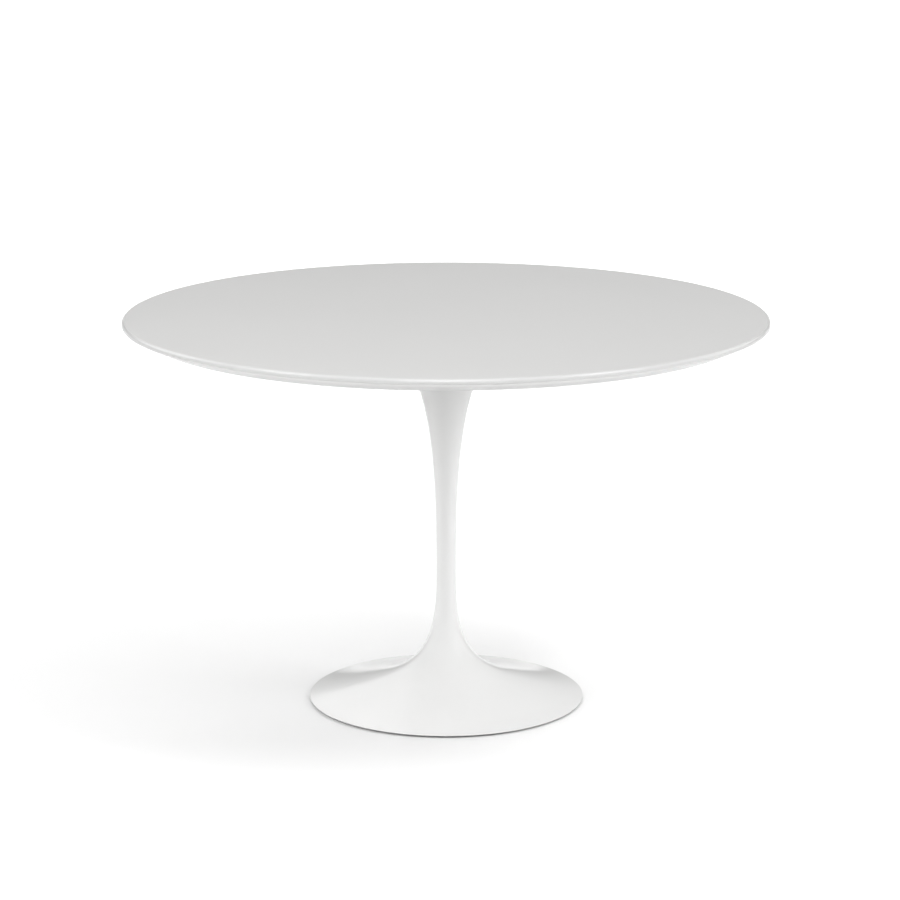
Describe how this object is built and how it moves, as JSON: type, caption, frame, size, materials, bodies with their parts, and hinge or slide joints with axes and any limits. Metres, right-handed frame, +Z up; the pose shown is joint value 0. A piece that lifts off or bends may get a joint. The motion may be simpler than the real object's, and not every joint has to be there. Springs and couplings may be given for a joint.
{
  "type": "round pedestal table",
  "caption": "Round dining table with a thin bevelled top on a single trumpet-shaped pedestal that flares from a slim waist into a low, gently coned round foot.",
  "frame": {"origin": "on the floor under the middle of the foot", "axes": "+Z up along the pedestal's axis, +X to the right and -Y towards the viewer of the picture"},
  "size_m": [1.1999, 1.2, 0.74],
  "materials": {
    "top_face": "satin off-white laminate",
    "top_edge": "fibreboard, sprayed satin white",
    "top_backing": "plain backing laminate",
    "plate_coat": "matt black powder coat",
    "casting_coat": "glossy white coating on cast iron",
    "zinc_steel": "zinc plated",
    "glide_plastic": "moulded dark grey"
  },
  "bodies": {
    "root": {"top_face_laminate": "top_face", "top_core": "top_edge", "top_backing_laminate": "top_backing", "threaded_inserts": "zinc_steel", "mounting_plate": "plate_coat", "plate_hub": "plate_coat", "plate_washers": "zinc_steel", "plate_bolts": "zinc_steel", "crown_pins": "zinc_steel", "pedestal": "casting_coat", "glide_ring": "glide_plastic", "tie_rod": "zinc_steel", "hub_lock_nut": "zinc_steel", "clamp_washer": "zinc_steel", "spring_washer": "zinc_steel", "clamp_nut": "zinc_steel"}
  },
  "joints": []
}
